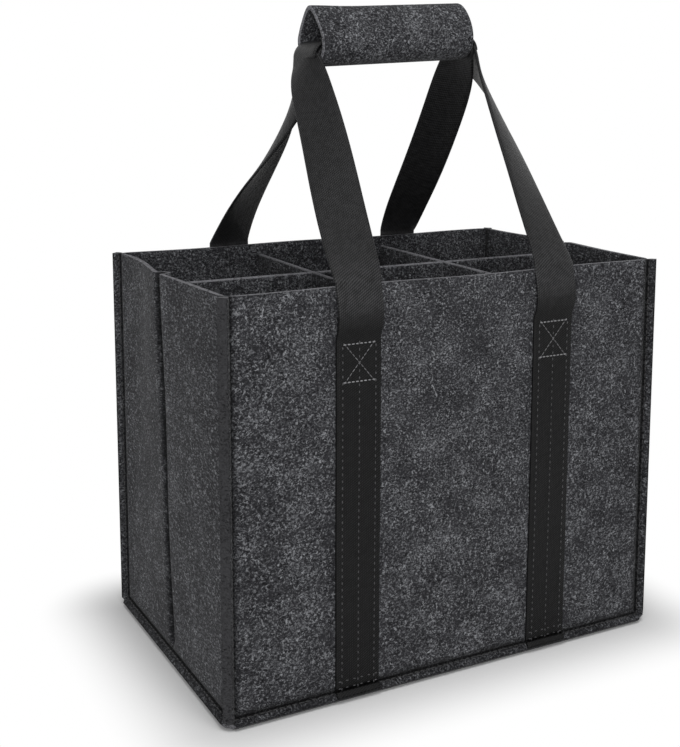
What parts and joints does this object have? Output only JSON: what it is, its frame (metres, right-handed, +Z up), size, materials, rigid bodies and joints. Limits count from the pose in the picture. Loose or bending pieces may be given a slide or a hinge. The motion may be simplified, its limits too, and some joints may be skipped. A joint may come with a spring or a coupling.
{
  "type": "felt bottle carrier tote",
  "caption": "Open-top felt carrier tote with sewn panels, slotted felt dividers and webbing handles gathered in a wrapped felt grip.",
  "frame": {"origin": "centre of the footprint, on the surface that the carrier stands on", "axes": "+X along the long side towards the viewer's right, +Y from the front panel to the back panel, +Z up"},
  "size_m": [0.3158, 0.2026, 0.422],
  "materials": {
    "felt": "charcoal melange pressed polyester felt",
    "webbing": "black woven polypropylene webbing",
    "fastener_tape": "black hook and loop tape"
  },
  "bodies": {
    "root": {"front_panel": "felt", "back_panel": "felt", "left_panel": "felt", "right_panel": "felt", "base_panel": "felt", "long_divider": "felt", "cross_divider_1": "felt", "cross_divider_2": "felt", "front_handle": "webbing", "back_handle": "webbing", "grip_wrap": "felt", "grip_loop_strip": "fastener_tape", "grip_hook_strip": "fastener_tape"}
  },
  "joints": []
}
